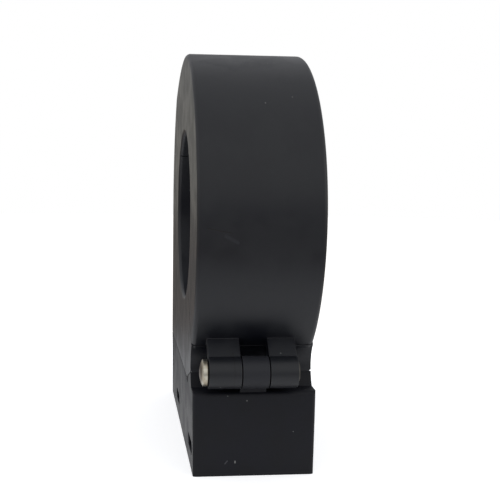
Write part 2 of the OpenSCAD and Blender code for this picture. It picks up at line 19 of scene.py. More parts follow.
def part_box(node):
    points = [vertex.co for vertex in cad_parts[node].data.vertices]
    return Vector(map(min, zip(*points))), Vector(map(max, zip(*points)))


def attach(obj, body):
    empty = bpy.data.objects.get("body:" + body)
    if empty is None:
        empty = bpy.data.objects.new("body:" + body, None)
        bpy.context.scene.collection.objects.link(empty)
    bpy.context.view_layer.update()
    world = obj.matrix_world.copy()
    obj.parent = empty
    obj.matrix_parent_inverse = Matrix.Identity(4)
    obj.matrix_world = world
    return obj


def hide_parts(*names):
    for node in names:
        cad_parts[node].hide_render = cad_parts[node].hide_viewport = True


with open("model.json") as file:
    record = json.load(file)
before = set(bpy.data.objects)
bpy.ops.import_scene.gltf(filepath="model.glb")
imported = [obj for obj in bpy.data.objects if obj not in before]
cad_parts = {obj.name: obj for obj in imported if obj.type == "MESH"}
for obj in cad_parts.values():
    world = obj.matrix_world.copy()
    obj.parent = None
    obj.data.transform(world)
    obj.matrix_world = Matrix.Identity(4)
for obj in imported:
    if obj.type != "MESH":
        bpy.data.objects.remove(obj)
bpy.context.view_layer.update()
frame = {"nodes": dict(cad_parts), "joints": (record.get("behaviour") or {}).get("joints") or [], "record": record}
nodes = frame["nodes"]
MM = 0.001

# %% [markdown]
# ## Where the ring, the hinge and the foot are
# Every later piece is placed from the boxes of the solid parts, so nothing has to be fitted by eye.
# The ring's axis runs along Y through the origin. The hinge pin lies along Y too, low on the near side.

# %% Measure the parts that others are placed from
pin_low, pin_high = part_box("hinge_pin")
housing_low, housing_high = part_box("jaw_housing")
core_low, core_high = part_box("lower_core")
hinge_axis = next(j for j in frame["joints"] if j["name"] == "jaw_hinge")["pos_m"]
floor_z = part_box("foot")[0].z
print("ring radius %.1f mm, body %.1f mm thick, stands on z = %.1f mm" % (
    housing_high.x / MM, (housing_high.y - housing_low.y) / MM, floor_z / MM))

# %% [markdown]
# ## The camera
# The camera stands about 0.2 m away, on the hinge side, and a little above the ring's middle.
# That short distance makes the near edge of the ring much taller than the far one.
# A camera looks down its own -Z axis, so its matrix is built from three directions instead of angles:
# forward, right and up, each turned by yaw, pitch and roll in that order.

# %% Set up the camera
CAMERA_PLACE = Vector((214.8, -29.1, 13.1)) * MM
YAW, PITCH, ROLL = 0.1033, 0.1287, 0.0118
SENSOR_W = 36.0
LENS = 63.61
SHIFT = (0.08, 0.05)
NEAREST_SEEN = 0.01


def look_matrix(place, yaw, pitch, roll):
    """A camera's matrix, looking along -X before it is turned."""
    ahead = Vector((-math.cos(yaw), math.sin(yaw), 0))
    side = Vector((math.sin(yaw), math.cos(yaw), 0))
    forward = math.cos(pitch) * ahead - math.sin(pitch) * Vector((0, 0, 1))
    up = math.cos(pitch) * Vector((0, 0, 1)) + math.sin(pitch) * ahead
    right = math.cos(roll) * side + math.sin(roll) * up
    upright = math.cos(roll) * up - math.sin(roll) * side
    turned = Matrix((right, upright, -forward)).transposed().to_4x4()
    return Matrix.Translation(place) @ turned


camera_data = bpy.data.cameras.new("bench_camera")
camera_data.sensor_width = SENSOR_W
camera_data.lens = LENS
camera_data.shift_x, camera_data.shift_y = SHIFT
camera_data.clip_start = NEAREST_SEEN
camera = bpy.data.objects.new("bench_camera", camera_data)
camera.matrix_world = look_matrix(CAMERA_PLACE, YAW, PITCH, ROLL)
bpy.context.scene.collection.objects.link(camera)
bpy.context.scene.camera = camera
bpy.context.scene.view_settings.view_transform = "Standard"
print("camera %.0f mm from the ring's axis" % (CAMERA_PLACE.length / MM))

# %% [markdown]
# ## Helpers for materials
# Colours are written as sRGB hex values, as on a paint chart, but a shader works with linear light,
# so one function turns them. Another adds one node with its settings and its links in a single call,
# so that a material reads from top to bottom: what goes in, what is done with it, where it goes.

# %% Colour and node helpers
SMOOTH = "SMOOTHSTEP"


def linear(hex_colour):
    """An sRGB hex colour as the linear RGBA of a shader socket."""
    channels = [int(hex_colour[i:i + 2], 16) / 255 for i in (1, 3, 5)]
    return [c / 12.92 if c <= 0.04045 else ((c + 0.055) / 1.055) ** 2.4 for c in channels] + [1.0]


def feed(node, sockets):
    """Gives a node's sockets a value each, or a link from another node or from one of its outputs."""
    for key, value in sockets.items():
        matching = [s for s in node.inputs if s.name == key and s.enabled]
        socket = node.inputs[key] if isinstance(key, int) else matching[0]
        if isinstance(value, bpy.types.Node):
            value = next(s for s in value.outputs if s.enabled)
        if isinstance(value, bpy.types.NodeSocket):
            node.id_data.links.new(value, socket)
        else:
            socket.default_value = value


def add(tree, kind, sockets, **settings):
    """Adds a node with its settings, and feeds its sockets, by name or by number."""
    node = tree.nodes.new("ShaderNode" + kind)
    for name, value in settings.items():
        setattr(node, name, value)
    feed(node, sockets)
    return node


print("mid grey, #808080, is", [round(c, 3) for c in linear("#808080")])

# %% [markdown]
# ## The room
# A black object is seen almost only by what it reflects, so the room matters as much as the lamps.
# A picture of a real studio could serve, but a few plain tones do the same and are easy to tune.
# The room is light overhead and behind the object, and dim on the viewer's side:
# that dim side is what makes the dark band across the middle of the ring.
# The ceiling is white over the viewer and grey at the far end, so the top of the ring isn't too bright.
# The X and the Z of a ray's direction, each from -1 to 1, say which of the tones the ray meets.
# Matt surfaces take one even tone instead, AMBIENT, at which a colour renders about as it is written.
# Light Path nodes show plain white to the camera, without that white lighting the object.

# %% Room
WHITE = linear("#ffffff")
FAR_CEILING = linear("#cacbce")
BACK_WALL = linear("#c4c1b8")
DIM_WALL = linear("#828794")
AMBIENT = linear("#f4f6fb")
DIM_X, BACK_X = 0.55, 0.25
WALL_Z, CEILING_Z = 0.02, 0.20
NEAR_END_X, FAR_END_X = 0.7, -0.7


def ray_kinds(tree):
    """Whether a ray comes from the camera, and whether it is a mirrored or a refracted one."""
    path = add(tree, "LightPath", {}).outputs
    mirrored = add(tree, "Math", {0: path["Is Glossy Ray"], 1: path["Is Transmission Ray"]},
                   operation="MAXIMUM")
    return path["Is Camera Ray"], mirrored


room = bpy.data.worlds.new("studio_room")
room.use_nodes = True
bpy.context.scene.world = room
tree = room.node_tree
direction = add(tree, "TexCoord", {}).outputs["Generated"]
axes = add(tree, "SeparateXYZ", {0: direction}).outputs
behind = add(tree, "MapRange", {0: axes["X"], 1: DIM_X, 2: BACK_X}, interpolation_type=SMOOTH)
overhead = add(tree, "MapRange", {0: axes["Z"], 1: WALL_Z, 2: CEILING_Z}, interpolation_type=SMOOTH)
along_ceiling = add(tree, "MapRange", {0: axes["X"], 1: NEAR_END_X, 2: FAR_END_X})
walls = add(tree, "Mix", {"Factor": behind, "A": DIM_WALL, "B": BACK_WALL}, data_type="RGBA")
ceiling = add(tree, "Mix", {"Factor": along_ceiling, "A": WHITE, "B": FAR_CEILING}, data_type="RGBA")
reflected = add(tree, "Mix", {"Factor": overhead, "A": walls, "B": ceiling}, data_type="RGBA")
camera_ray, mirrored = ray_kinds(tree)
unseen = add(tree, "Mix", {"Factor": mirrored, "A": AMBIENT, "B": reflected}, data_type="RGBA")
seen = add(tree, "Mix", {"Factor": camera_ray, "A": unseen, "B": WHITE}, data_type="RGBA")
feed(tree.nodes["Background"], {"Color": seen})
print("room nodes:", len(tree.nodes))

# %% [markdown]
# ## The bench
# The part stands on a small white sheet, on a bench of warm grey board.
# One round plate does for both: it has no corner that could show at the edge of a view.
# The sheet glows white for the camera, and weaker close to the object, so that the shadow stays.
# A reflection sees part of that glow, which lights the ring's lower side as paper does.
# It fades away from the object and behind it, where a bench in a room is darker.
# From underneath the plate is clear, so that the base can be looked at, and it lies a hair below
# the foot, so that the two never share a plane.

# %% Bench
BENCH_R = 0.9
SHEET_R = 0.10
GAP_UNDER = 0.02 * MM
PAPER, BOARD = linear("#d4d4d4"), linear("#857b72")
GLOW_NEAR = 0.60
MIRRORED_GLOW = 0.5
FAR_SHARE = 0.3


def build_bench():
    """The bench top as one round plate, level with the foot's base."""
    mesh = bpy.data.meshes.new("bench_top")
    shape = bmesh.new()
    bmesh.ops.create_circle(shape, cap_ends=True, radius=BENCH_R, segments=96)
    shape.to_mesh(mesh)
    shape.free()
    bench = bpy.data.objects.new("bench_top", mesh)
    bench.location = (0, 0, floor_z - GAP_UNDER)
    bpy.context.scene.collection.objects.link(bench)
    return bench


def bench_finish():
    """White paper round the object, warm board beyond it."""
    finish = bpy.data.materials.new("white_paper_on_board")
    finish.use_nodes = True
    tree = finish.node_tree
    place = add(tree, "TexCoord", {}).outputs["Object"]
    away = add(tree, "VectorMath", {0: place}, operation="LENGTH")
    beyond = add(tree, "MapRange", {0: away, 1: SHEET_R, 2: 1.5 * SHEET_R}, interpolation_type=SMOOTH)
    colour = add(tree, "Mix", {"Factor": beyond, "A": PAPER, "B": BOARD}, data_type="RGBA")
    glow = add(tree, "MapRange", {0: away, 1: 0.5 * SHEET_R, 2: SHEET_R, 3: GLOW_NEAR, 4: 1.0})
    camera_ray, mirrored = ray_kinds(tree)
    seen_glow = add(tree, "Math", {0: camera_ray, 1: glow}, operation="MULTIPLY")
    x = add(tree, "SeparateXYZ", {0: place}).outputs["X"]
    in_front = add(tree, "MapRange", {0: x, 1: -0.9 * SHEET_R, 2: -0.2 * SHEET_R, 4: MIRRORED_GLOW})
    close = add(tree, "MapRange", {0: away, 1: 0.7 * SHEET_R, 2: 1.3 * SHEET_R, 3: 1.0, 4: FAR_SHARE})
    lit_part = add(tree, "Math", {0: in_front, 1: close}, operation="MULTIPLY")
    mirrored_glow = add(tree, "Math", {0: mirrored, 1: lit_part}, operation="MULTIPLY")
    strength = add(tree, "Math", {0: seen_glow, 1: mirrored_glow}, operation="MAXIMUM")
    paper = tree.nodes["Principled BSDF"]
    feed(paper, {"Base Color": colour, "Roughness": 0.9, "Specular IOR Level": 0.1,
                 "Emission Color": WHITE, "Emission Strength": strength})
    underneath = add(tree, "NewGeometry", {}).outputs["Backfacing"]
    clear = add(tree, "BsdfTransparent", {})
    shown = add(tree, "MixShader", {0: underneath, 1: paper, 2: clear})
    feed(tree.nodes["Material Output"], {"Surface": shown})
    return finish


bench = build_bench()
bench.data.materials.append(bench_finish())
print("bench at z = %.2f mm" % (bench.location.z / MM))

# %% [markdown]
# ## The lamps
# Three weak softboxes add what a plain room can't: the soft shadow under the foot, and a little more
# light on one side than on the other, so that round shapes look round.
# Square area lamps are used, because a softbox is one, and its size alone sets how soft the light is.

# %% Lamps


def softbox(name, place, size, watts):
    """A square lamp behind a diffuser, aimed at the ring's centre."""
    lamp = bpy.data.lights.new(name, "AREA")
    lamp.shape = "SQUARE"
    lamp.size = size
    lamp.energy = watts
    stand = bpy.data.objects.new(name, lamp)
    stand.location = place
    stand.rotation_mode = "QUATERNION"
    stand.rotation_quaternion = (-Vector(place)).to_track_quat("-Z", "Y")
    bpy.context.scene.collection.objects.link(stand)
    return stand


softbox("softbox_overhead", place=(0.05, -0.05, 0.65), size=0.90, watts=0.12)
softbox("softbox_left", place=(0.15, -0.60, 0.25), size=0.50, watts=0.25)
softbox("softbox_right", place=(0.30, 0.60, 0.20), size=0.40, watts=0.55)

# %% [markdown]
# ## What a moulded surface shows
# Three patterns show on nearly every moulding here, so each gets a helper of its own.
# Mottle: black pigment never spreads quite evenly, and hands polish some places more than others.
# Hairlines: a housing that has lain in a tool bag carries fine scratches, which catch the light.
# Lint: specks of pale dust 0.2 to 0.3 mm across, which black plastic never hides.
# All three are noise of a known size in millimetres, so they stay the same on a small part and a large one.

# %% Mottle, hairlines and lint
STREAK_FADE = 0.06
LINT_CELL = 4.5 * MM
LINT_OUT, LINT_IN = 0.034, 0.022


def new_finish(name):
    """A material, its node tree, and the place on the surface in metres."""
    finish = bpy.data.materials.new(name)
    finish.use_nodes = True
    place = add(finish.node_tree, "TexCoord", {}).outputs["Object"]
    return finish, finish.node_tree, place


def mottle(tree, place, patch_mm):
    """Soft patches, from 0 to 1."""
    cloud = add(tree, "TexNoise", {"Vector": place, "Scale": 1 / (patch_mm * MM), "Detail": 3.0})
    return add(tree, "MapRange", {0: cloud, 1: 0.35, 2: 0.65}, interpolation_type=SMOOTH)


def streaks(tree, place, turns, length_mm, width_mm, least):
    """Thin streaks in a few directions, where stretched noise is above least."""
    found = 0.0
    size = [1 / (length_mm * MM), 1 / (width_mm * MM), 1 / (width_mm * MM)]
    for turn in turns:
        along = add(tree, "Mapping", {"Vector": place, "Rotation": turn, "Scale": size})
        streak = add(tree, "TexNoise", {"Vector": along, "Scale": 1.0, "Detail": 1.0})
        sharp = add(tree, "MapRange", {0: streak, 1: least, 2: least + STREAK_FADE},
                    interpolation_type=SMOOTH)
        found = add(tree, "Math", {0: found, 1: sharp}, operation="MAXIMUM")
    return found


def lint(tree, place):
    """A speck in some of the cells, from 0 to 1. Its radius is given in cells."""
    cells = add(tree, "TexVoronoi", {"Vector": place, "Scale": 1 / LINT_CELL})
    return add(tree, "MapRange", {0: cells, 1: LINT_OUT, 2: LINT_IN}, interpolation_type=SMOOTH)


print("lint radius: %.2f to %.2f mm" % (LINT_IN * LINT_CELL / MM, LINT_OUT * LINT_CELL / MM))

# %% [markdown]
# ## Edges, and distance from an axis
# No mould has a truly sharp corner, so a Bevel node rounds each edge by a fraction of a millimetre
# for the light only. The real shape always comes from the mesh; this is the last bit of softness.
# Edges wear first, and where the rounded normal leaves the flat one they are painted lighter, partly as a painted
# highlight.
# Knuckles, pin and core are all round about a line along Y, so one helper gives the distance to it.

# %% Soft edges and round parts


def soft_edge(tree, radius_mm):
    """A normal that is rounded over each edge."""
    return add(tree, "Bevel", {"Radius": radius_mm * MM}, samples=6)


def edge_wear_and_highlight(tree, rounded):
    """How much of an edge is there, from 0 to 1, for worn edges and painted edge highlights."""
    flat = add(tree, "NewGeometry", {}).outputs["Normal"]
    alike = add(tree, "VectorMath", {0: rounded, 1: flat}, operation="DOT_PRODUCT")
    return add(tree, "MapRange", {0: alike, 1: 0.98, 2: 0.80}, interpolation_type=SMOOTH)


def off_axis(tree, place, axis_x, axis_z):
    """How far the place is from a line along Y, in metres."""
    shifted = add(tree, "VectorMath", {0: place, 1: (axis_x, 0, axis_z)}, operation="SUBTRACT")
    across = add(tree, "VectorMath", {0: shifted, 1: (1, 0, 1)}, operation="MULTIPLY")
    return add(tree, "VectorMath", {0: across}, operation="LENGTH")


print("hinge axis at x = %.1f, z = %.1f mm" % (hinge_axis[0] / MM, hinge_axis[2] / MM))

# %% [markdown]
# ## Marks of its own
# This housing has a long faint scratch and a rubbed place on the ring, and a few pale chips low on the foot.
# Noise never puts a mark where it is wanted, so each mark is a short line between two points on the
# hinge side, and a chain of nodes measures how far the surface is from that line.
# Each row holds the start and the end as (y, z) and the width, all in millimetres, and the tone.

# %% Scratches and chips
HINGE_SIDE_X = 25 * MM
SPECK_LENGTH = 0.01 * MM
RING_MARKS = (
    ((-11.3, -0.5), (-6.4, -1.4), 0.16, "#08080a"),
    ((-7.6, -2.0), (-5.1, -3.4), 0.50, "#1f2126"),
)
FOOT_MARKS = (
    ((-1.7, -38.2), (-1.7, -38.2), 0.22, "#626260"),
    ((-6.3, -52.2), (-5.8, -51.6), 0.20, "#3c3c40"),
    ((-4.1, -52.0), (-4.1, -51.7), 0.22, "#757573"),
)


def mark(tree, place, start_mm, end_mm, width_mm):
    """A scratch on the hinge side from one (y, z) to another, or a speck where they are the same."""
    start = Vector((0, *start_mm)) * MM
    along = Vector((0, *end_mm)) * MM - start + Vector((0, 0, SPECK_LENGTH))
    flat = add(tree, "VectorMath", {0: place, 1: (0, 1, 1)}, operation="MULTIPLY")
    from_start = add(tree, "VectorMath", {0: flat, 1: start}, operation="SUBTRACT")
    reach = add(tree, "VectorMath", {0: from_start, 1: along / along.length_squared},
                operation="DOT_PRODUCT")
    share = add(tree, "MapRange", {0: reach})
    nearest = add(tree, "VectorMath", {0: along, "Scale": share}, operation="SCALE")
    gap = add(tree, "VectorMath", {0: from_start, 1: nearest}, operation="DISTANCE")
    line = add(tree, "MapRange", {0: gap, 1: width_mm * MM, 2: 0.3 * width_mm * MM})
    x = add(tree, "SeparateXYZ", {0: place}).outputs["X"]
    hinge_side = add(tree, "Math", {0: x, 1: HINGE_SIDE_X}, operation="GREATER_THAN")
    return add(tree, "Math", {0: line, 1: hinge_side}, operation="MULTIPLY")


print("marks: %d on the ring, %d on the foot" % (len(RING_MARKS), len(FOOT_MARKS)))

# %% [markdown]
# ## Black ABS
# The housings, the foot and the covers are ABS with carbon black, moulded in spark-eroded steel.
# Carbon black makes the plastic nearly as dark as it can be, so the colour itself is hardly seen.
# What the eye gets is the satin sheen: broad soft reflections, with no image in them.
# ABS has an IOR near 1.53, and the grain scatters some of its gloss, so the specular level sits lower.
# The real grain is about 0.05 mm across, too fine to see from here, so it is drawn 0.2 mm wide or more.
# Each tool gave its own sheen, so the housing, the covers and the foot differ a little.
# The knuckles get a tone of their own: a little wear and, on the foot, a much lighter painted sheen.
# A thin dark line runs round the front one, where two parts of its mould met.

# %% Moulded ABS
ABS_IOR = 1.53
PATCH_MM = 7.0
SCRATCH_TURNS = ((0.3, 0.5, 0.2), (1.2, -0.4, 0.9))
SCRATCH_LENGTH_MM, SCRATCH_WIDTH_MM, SCRATCH_LEAST = 9.0, 0.16, 0.77
KNUCKLE_REACH = 3.6 * MM
JOINT_LINE_Y = -4.95 * MM
JOINT_LINE_HALF_W = 0.07 * MM
JOINT_LINE_REACH = 4.4 * MM
DENT_DEPTH = -3.0


def moulded_abs(name, dark, light, roughness, gloss, grain_mm, rubbed_and_sheen=None, own_marks=()):
    """Satin black ABS: dark and light are the ends of its mottle; the knuckle tone is wear and partly a painted
    sheen.
    """
    finish, tree, place = new_finish(name)
    patches = mottle(tree, place, PATCH_MM)
    colour = add(tree, "Mix", {"Factor": patches, "A": linear(dark), "B": linear(light)},
                 data_type="RGBA")
    from_hinge = off_axis(tree, place, hinge_axis[0], hinge_axis[2])
    # The knuckle tone is worn and partly a painted sheen: on the foot it is far lighter than the plastic.
    if rubbed_and_sheen:
        knuckle_sheen = add(tree, "Math", {0: from_hinge, 1: KNUCKLE_REACH}, operation="LESS_THAN")
        colour = add(tree, "Mix", {"Factor": knuckle_sheen, "A": colour, "B": linear(rubbed_and_sheen)},
                     data_type="RGBA")
    rounded = soft_edge(tree, 0.25)
    scratches = streaks(tree, place, SCRATCH_TURNS, SCRATCH_LENGTH_MM, SCRATCH_WIDTH_MM, SCRATCH_LEAST)
    # Edges are painted lighter, partly wear and partly a painted highlight; scratches and lint are wear and dust.
    wear_and_edge_highlight = (
        (edge_wear_and_highlight(tree, rounded), 0.35, "#3b3c40"),
        (scratches, 0.20, "#5a5b5e"),
        (lint(tree, place), 0.45, "#9a9a98"),
    )
    for where, share, tone in wear_and_edge_highlight:
        part = add(tree, "Math", {0: where, 1: share}, operation="MULTIPLY")
        colour = add(tree, "Mix", {"Factor": part, "A": colour, "B": linear(tone)}, data_type="RGBA")
    dents = 0.0
    for start, end, width, tone in own_marks:
        dent = mark(tree, place, start, end, width)
        colour = add(tree, "Mix", {"Factor": dent, "A": colour, "B": linear(tone)}, data_type="RGBA")
        dents = add(tree, "Math", {0: dents, 1: dent}, operation="MAXIMUM")
    y = add(tree, "SeparateXYZ", {0: place}).outputs["Y"]
    at_line = add(tree, "Math", {0: y, 1: JOINT_LINE_Y, 2: JOINT_LINE_HALF_W}, operation="COMPARE")
    near = add(tree, "Math", {0: from_hinge, 1: JOINT_LINE_REACH}, operation="LESS_THAN")
    line = add(tree, "Math", {0: at_line, 1: near}, operation="MULTIPLY")
    colour = add(tree, "Mix", {"Factor": line, "A": colour, "B": linear("#060607")}, data_type="RGBA")
    grain = add(tree, "TexNoise", {"Vector": place, "Scale": 1 / (grain_mm * MM), "Detail": 2.0})
    polish = add(tree, "MapRange", {0: patches, 3: roughness - 0.04, 4: roughness + 0.05})
    pits = add(tree, "MapRange", {0: grain, 1: 0.3, 2: 0.7, 3: -0.04, 4: 0.04})
    uneven = add(tree, "Math", {0: polish, 1: pits}, operation="ADD")
    height = add(tree, "Math", {0: dents, 1: DENT_DEPTH, 2: grain}, operation="MULTIPLY_ADD")
    bumped = add(tree, "Bump", {"Height": height, "Distance": 0.006 * MM, "Normal": rounded})
    feed(tree.nodes["Principled BSDF"], {
        "Base Color": colour, "Roughness": uneven, "IOR": ABS_IOR, "Specular IOR Level": gloss,
        "Normal": bumped})
    return finish


FINISHES = {
    "housing_plastic": moulded_abs(
        "satin_black_abs", dark="#0c0e15", light="#14161b", roughness=0.42, gloss=0.34,
        grain_mm=0.25, rubbed_and_sheen="#121419", own_marks=RING_MARKS),
    "cover_plastic": moulded_abs(
        "flat_black_abs", dark="#121318", light="#17181b", roughness=0.54, gloss=0.34, grain_mm=0.20),
    # The foot's knuckle tone is a painted sheen, far lighter than its plastic.
    "foot_plastic": moulded_abs(
        "blue_black_abs", dark="#08090f", light="#0d0e15", roughness=0.50, gloss=0.20,
        grain_mm=0.25, rubbed_and_sheen="#25262a", own_marks=FOOT_MARKS),
}
print("mouldings:", sorted(FINISHES))

# %% [markdown]
# ## Nylon
# The terminal block, the coil former and the moving core's channel are nylon 66, which stands heat.
# The block is black and flame-retardant, with a harder gloss than the ABS.
# The former keeps nylon's own colour, a waxy off-white that lets a little light in.
# The channel is filled with glass fibres, which show as short pale streaks in the grey.
# A real fibre is a hundredth of a millimetre thick, so each is drawn 0.2 mm wide.

# %% Moulded nylon
NYLON_IOR = 1.53
FLOW_MM = 3.0
SKIN_MM = 0.35
FIBRE_TURNS = ((0.2, 0.9, 0.4), (0.8, -0.7, 1.3), (1.5, 0.1, -0.6))
FIBRE_LENGTH_MM, FIBRE_WIDTH_MM, FIBRE_LEAST = 1.8, 0.2, 0.62


def moulded_nylon(name, dark, light, edge_wear_and_highlight_tone, rough, smooth, depth_mm, fibres=False):
    """Nylon whose tone goes from dark to light with its flow marks, or with its glass fibres."""
    finish, tree, place = new_finish(name)
    if fibres:
        pattern = streaks(tree, place, FIBRE_TURNS, FIBRE_LENGTH_MM, FIBRE_WIDTH_MM, FIBRE_LEAST)
        relief = pattern
    else:
        pattern = mottle(tree, place, FLOW_MM)
        relief = add(tree, "TexNoise", {"Vector": place, "Scale": 1 / (SKIN_MM * MM), "Detail": 2.0})
    rounded = soft_edge(tree, 0.2)
    body = add(tree, "Mix", {"Factor": pattern, "A": linear(dark), "B": linear(light)}, data_type="RGBA")
    # Edges are painted lighter: partly wear, partly a painted highlight.
    part = add(tree, "Math", {0: edge_wear_and_highlight(tree, rounded), 1: 0.4}, operation="MULTIPLY")
    colour = add(tree, "Mix", {"Factor": part, "A": body, "B": linear(edge_wear_and_highlight_tone)}, data_type="RGBA")
    sheen = add(tree, "MapRange", {0: pattern, 3: rough, 4: smooth})
    bumped = add(tree, "Bump", {"Height": relief, "Distance": depth_mm * MM, "Normal": rounded})
    feed(tree.nodes["Principled BSDF"], {
        "Base Color": colour, "Roughness": sheen, "IOR": NYLON_IOR, "Normal": bumped})
    return finish


FINISHES["terminal_plastic"] = moulded_nylon(
    "flame_retardant_nylon", dark="#131415", light="#1b1c1d", edge_wear_and_highlight_tone="#3a3b3d",
    rough=0.36, smooth=0.28, depth_mm=0.006)
FINISHES["former_plastic"] = moulded_nylon(
    "natural_nylon", dark="#ddd8c8", light="#e9e5d9", edge_wear_and_highlight_tone="#f2efe6",
    rough=0.48, smooth=0.38, depth_mm=0.008)
FINISHES["holder_plastic"] = moulded_nylon(
    "glass_filled_nylon", dark="#29292c", light="#47474a", edge_wear_and_highlight_tone="#5b5b5e",
    rough=0.58, smooth=0.46, depth_mm=0.012, fibres=True)
feed(FINISHES["former_plastic"].node_tree.nodes["Principled BSDF"], {
    "Subsurface Weight": 0.25, "Subsurface Radius": (1.2, 1.0, 0.8), "Subsurface Scale": MM})
print("nylons:", [FINISHES[slot].name for slot in ("terminal_plastic", "former_plastic", "holder_plastic")])

# %% [markdown]
# ## The hinge pin
# A metal's colour is the colour of its reflection, and it keeps Blender's default IOR.
# The hinge pin is nickel-plated steel: warmer than chrome, polished on the head by the riveting tool,
# with fine rings left by the lathe, and a brown painted reflection of the room's dim side on the crown.
# Its far end is made darker and duller than the rest.
# All of that is round about the pin's axis, so the distance to the axis drives both the rings and the painted
# crown.

# %% Nickel-plated hinge pin
TURNING_PITCH = 0.18 * MM
TURNING_DEPTH = 0.0008 * MM
TARNISH_MM = 1.5
DARK_END_FROM = pin_high.y - 0.6 * MM
HEAD_R = (pin_high.z - pin_low.z) / 2
DARK_END_DULLNESS = 0.25


def nickel_plate():
    """Nickel-plated hinge pin with turning rings on its head, a painted reflection on its crown, and a darker,
    duller riveted end.
    """
    finish, tree, place = new_finish("nickel_plated_steel")
    tarnish = mottle(tree, place, TARNISH_MM)
    plated = add(tree, "Mix", {"Factor": tarnish, "A": linear("#bbb7aa"), "B": linear("#a49b89")},
                 data_type="RGBA")
    radius = off_axis(tree, place, hinge_axis[0], hinge_axis[2])
    # The crown is painted dark brown: a painted reflection of the room's dim side.
    painted_reflection_crown = add(tree, "MapRange", {0: radius, 1: 0.92 * HEAD_R, 2: 0.62 * HEAD_R}, interpolation_type=SMOOTH)
    with_painted_crown = add(tree, "Mix", {"Factor": painted_reflection_crown, "A": plated, "B": linear("#564b3d")}, data_type="RGBA")
    y = add(tree, "SeparateXYZ", {0: place}).outputs["Y"]
    # The far end is only made darker and duller here.
    bare = add(tree, "MapRange", {0: y, 1: DARK_END_FROM, 2: DARK_END_FROM + 0.2 * MM})
    colour = add(tree, "Mix", {"Factor": bare, "A": with_painted_crown, "B": linear("#56544f")}, data_type="RGBA")
    polish = add(tree, "MapRange", {0: tarnish, 3: 0.34, 4: 0.44})
    dull = add(tree, "Math", {0: bare, 1: DARK_END_DULLNESS, 2: polish}, operation="MULTIPLY_ADD")
    phase = add(tree, "Math", {0: radius, 1: 2 * math.pi / TURNING_PITCH}, operation="MULTIPLY")
    rings = add(tree, "Math", {0: phase}, operation="SINE")
    rounded = soft_edge(tree, 0.2)
    bumped = add(tree, "Bump", {"Height": rings, "Distance": TURNING_DEPTH, "Normal": rounded})
    feed(tree.nodes["Principled BSDF"], {
        "Metallic": 1.0, "Base Color": colour, "Roughness": dull, "Normal": bumped})
    return finish


FINISHES["pin_steel"] = nickel_plate()
print("pin finish:", FINISHES["pin_steel"].name, "head radius %.1f mm" % (HEAD_R / MM))

# %% [markdown]
# ## Screws and clamps
# The screws are zinc-plated, which leaves a faint yellow and blue bloom and a fine even grain.
# The clamps are stamped from brass strip, whose rolling lines run along X.
# Grain and lines are one noise: only its three lengths differ, even for grain and drawn out for lines.

# %% Zinc plate and brass
BLOOM_MM = 1.2


def plated_metal(name, first, second, edge_wear_and_highlight_tone, rough, smooth, line_mm):
    """A metal with a soft bloom of two tones, and fine lines or grain of the given sizes."""
    finish, tree, place = new_finish(name)
    bloom = mottle(tree, place, BLOOM_MM)
    size = [1 / (length * MM) for length in line_mm]
    along = add(tree, "Mapping", {"Vector": place, "Scale": size})
    lines = add(tree, "TexNoise", {"Vector": along, "Scale": 1.0, "Detail": 2.0})
    rounded = soft_edge(tree, 0.12)
    # Edges are painted lighter: partly wear, partly a painted highlight.
    edge = edge_wear_and_highlight(tree, rounded)
    body = add(tree, "Mix", {"Factor": bloom, "A": linear(first), "B": linear(second)}, data_type="RGBA")
    colour = add(tree, "Mix", {"Factor": edge, "A": body, "B": linear(edge_wear_and_highlight_tone)}, data_type="RGBA")
    polish = add(tree, "MapRange", {0: lines, 1: 0.3, 2: 0.7, 3: smooth, 4: rough})
    bumped = add(tree, "Bump", {"Height": lines, "Distance": 0.004 * MM, "Normal": rounded})
    feed(tree.nodes["Principled BSDF"], {
        "Metallic": 1.0, "Base Color": colour, "Roughness": polish, "Normal": bumped})
    return finish


FINISHES["screw_steel"] = plated_metal(
    "zinc_plated_steel", first="#aeb3bb", second="#bdb79c", edge_wear_and_highlight_tone="#cfd2d6",
    rough=0.42, smooth=0.30, line_mm=(0.15, 0.15, 0.15))
FINISHES["clamp_brass"] = plated_metal(
    "rolled_brass", first="#b08d4c", second="#c4a263", edge_wear_and_highlight_tone="#dcc48c",
    rough=0.42, smooth=0.28, line_mm=(6.0, 0.15, 0.15))
print("metals:", FINISHES["screw_steel"].name, FINISHES["clamp_brass"].name)

# %% [markdown]
# ## The cut core
# The core is silicon-steel strip, 0.3 mm thick, wound into a ring, soaked in varnish and sawn in two.
# Its sides and its sawn poles both show the edges of the strip, so the same rings,
# worked out from the distance to the ring's axis, suit both.
# The poles are lapped flat and bright, because any gap between them spoils the measurement.

# %% Silicon steel
STRIP = 0.3 * MM
SPLIT_NORMAL = Vector((1, 0, 1)).normalized()
POLE_DEPTH, POLE_FULL = 0.4 * MM, 0.1 * MM
VARNISH_DULLNESS = 0.3


